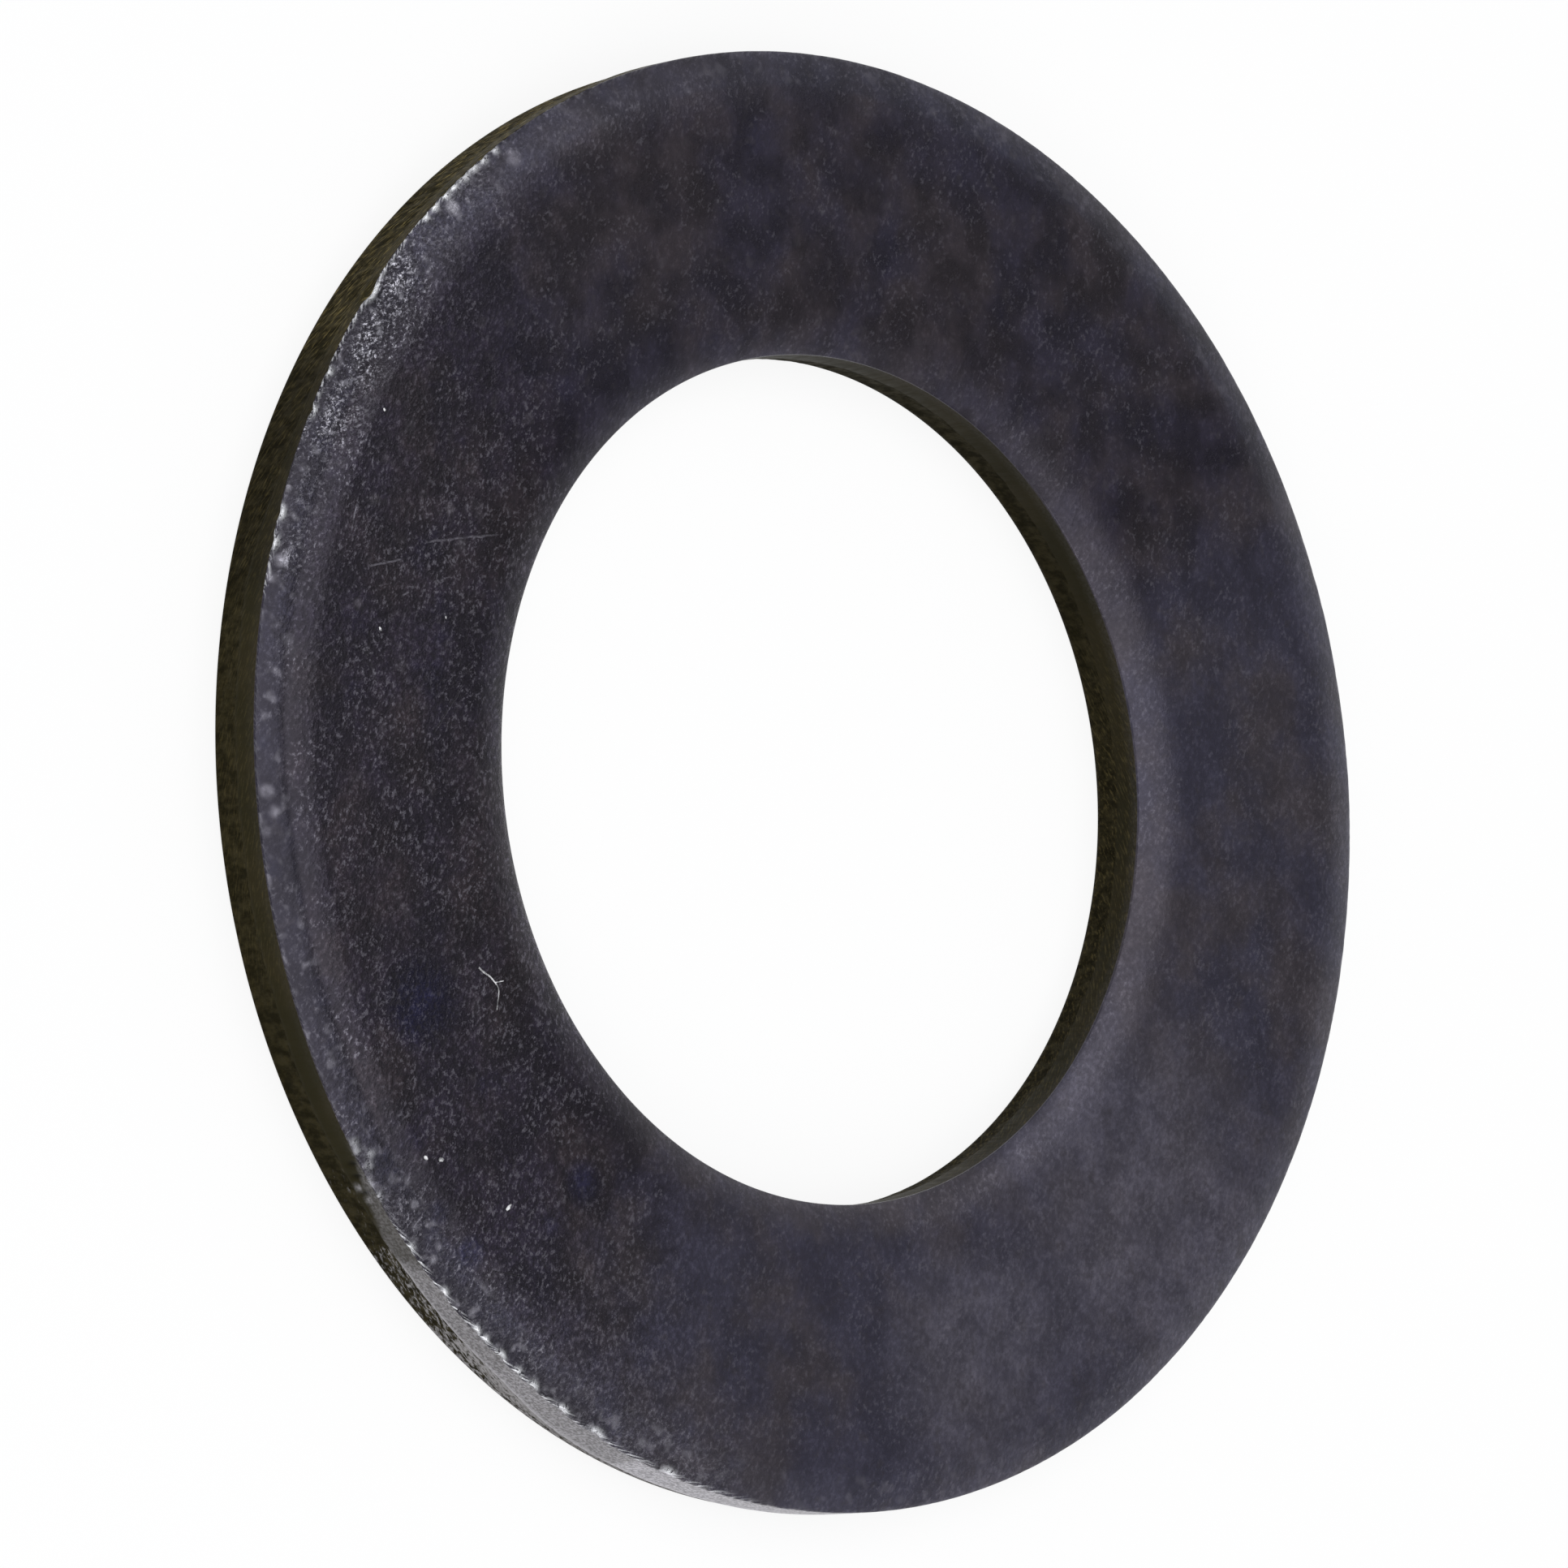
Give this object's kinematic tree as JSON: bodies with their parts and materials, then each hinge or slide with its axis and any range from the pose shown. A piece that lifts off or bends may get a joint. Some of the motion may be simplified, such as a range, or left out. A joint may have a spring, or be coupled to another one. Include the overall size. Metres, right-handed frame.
{
  "type": "flat washer",
  "caption": "Thin flat steel washer with a black oxide finish, rolled edges on its top face and sheared walls, to spread the load of a small screw or nut.",
  "frame": {"origin": "centre of the ring, on its underside", "axes": "+Z along the bore's axis, out of the face with the rolled edges; X and Y lie in the underside and are alike"},
  "size_m": [0.011, 0.011, 0.0006],
  "materials": {
    "oxide_steel": "black oxide on stamped steel, satin, with bare metal showing at nicks in the outer edge"
  },
  "bodies": {
    "root": {"washer": "oxide_steel"}
  },
  "joints": []
}
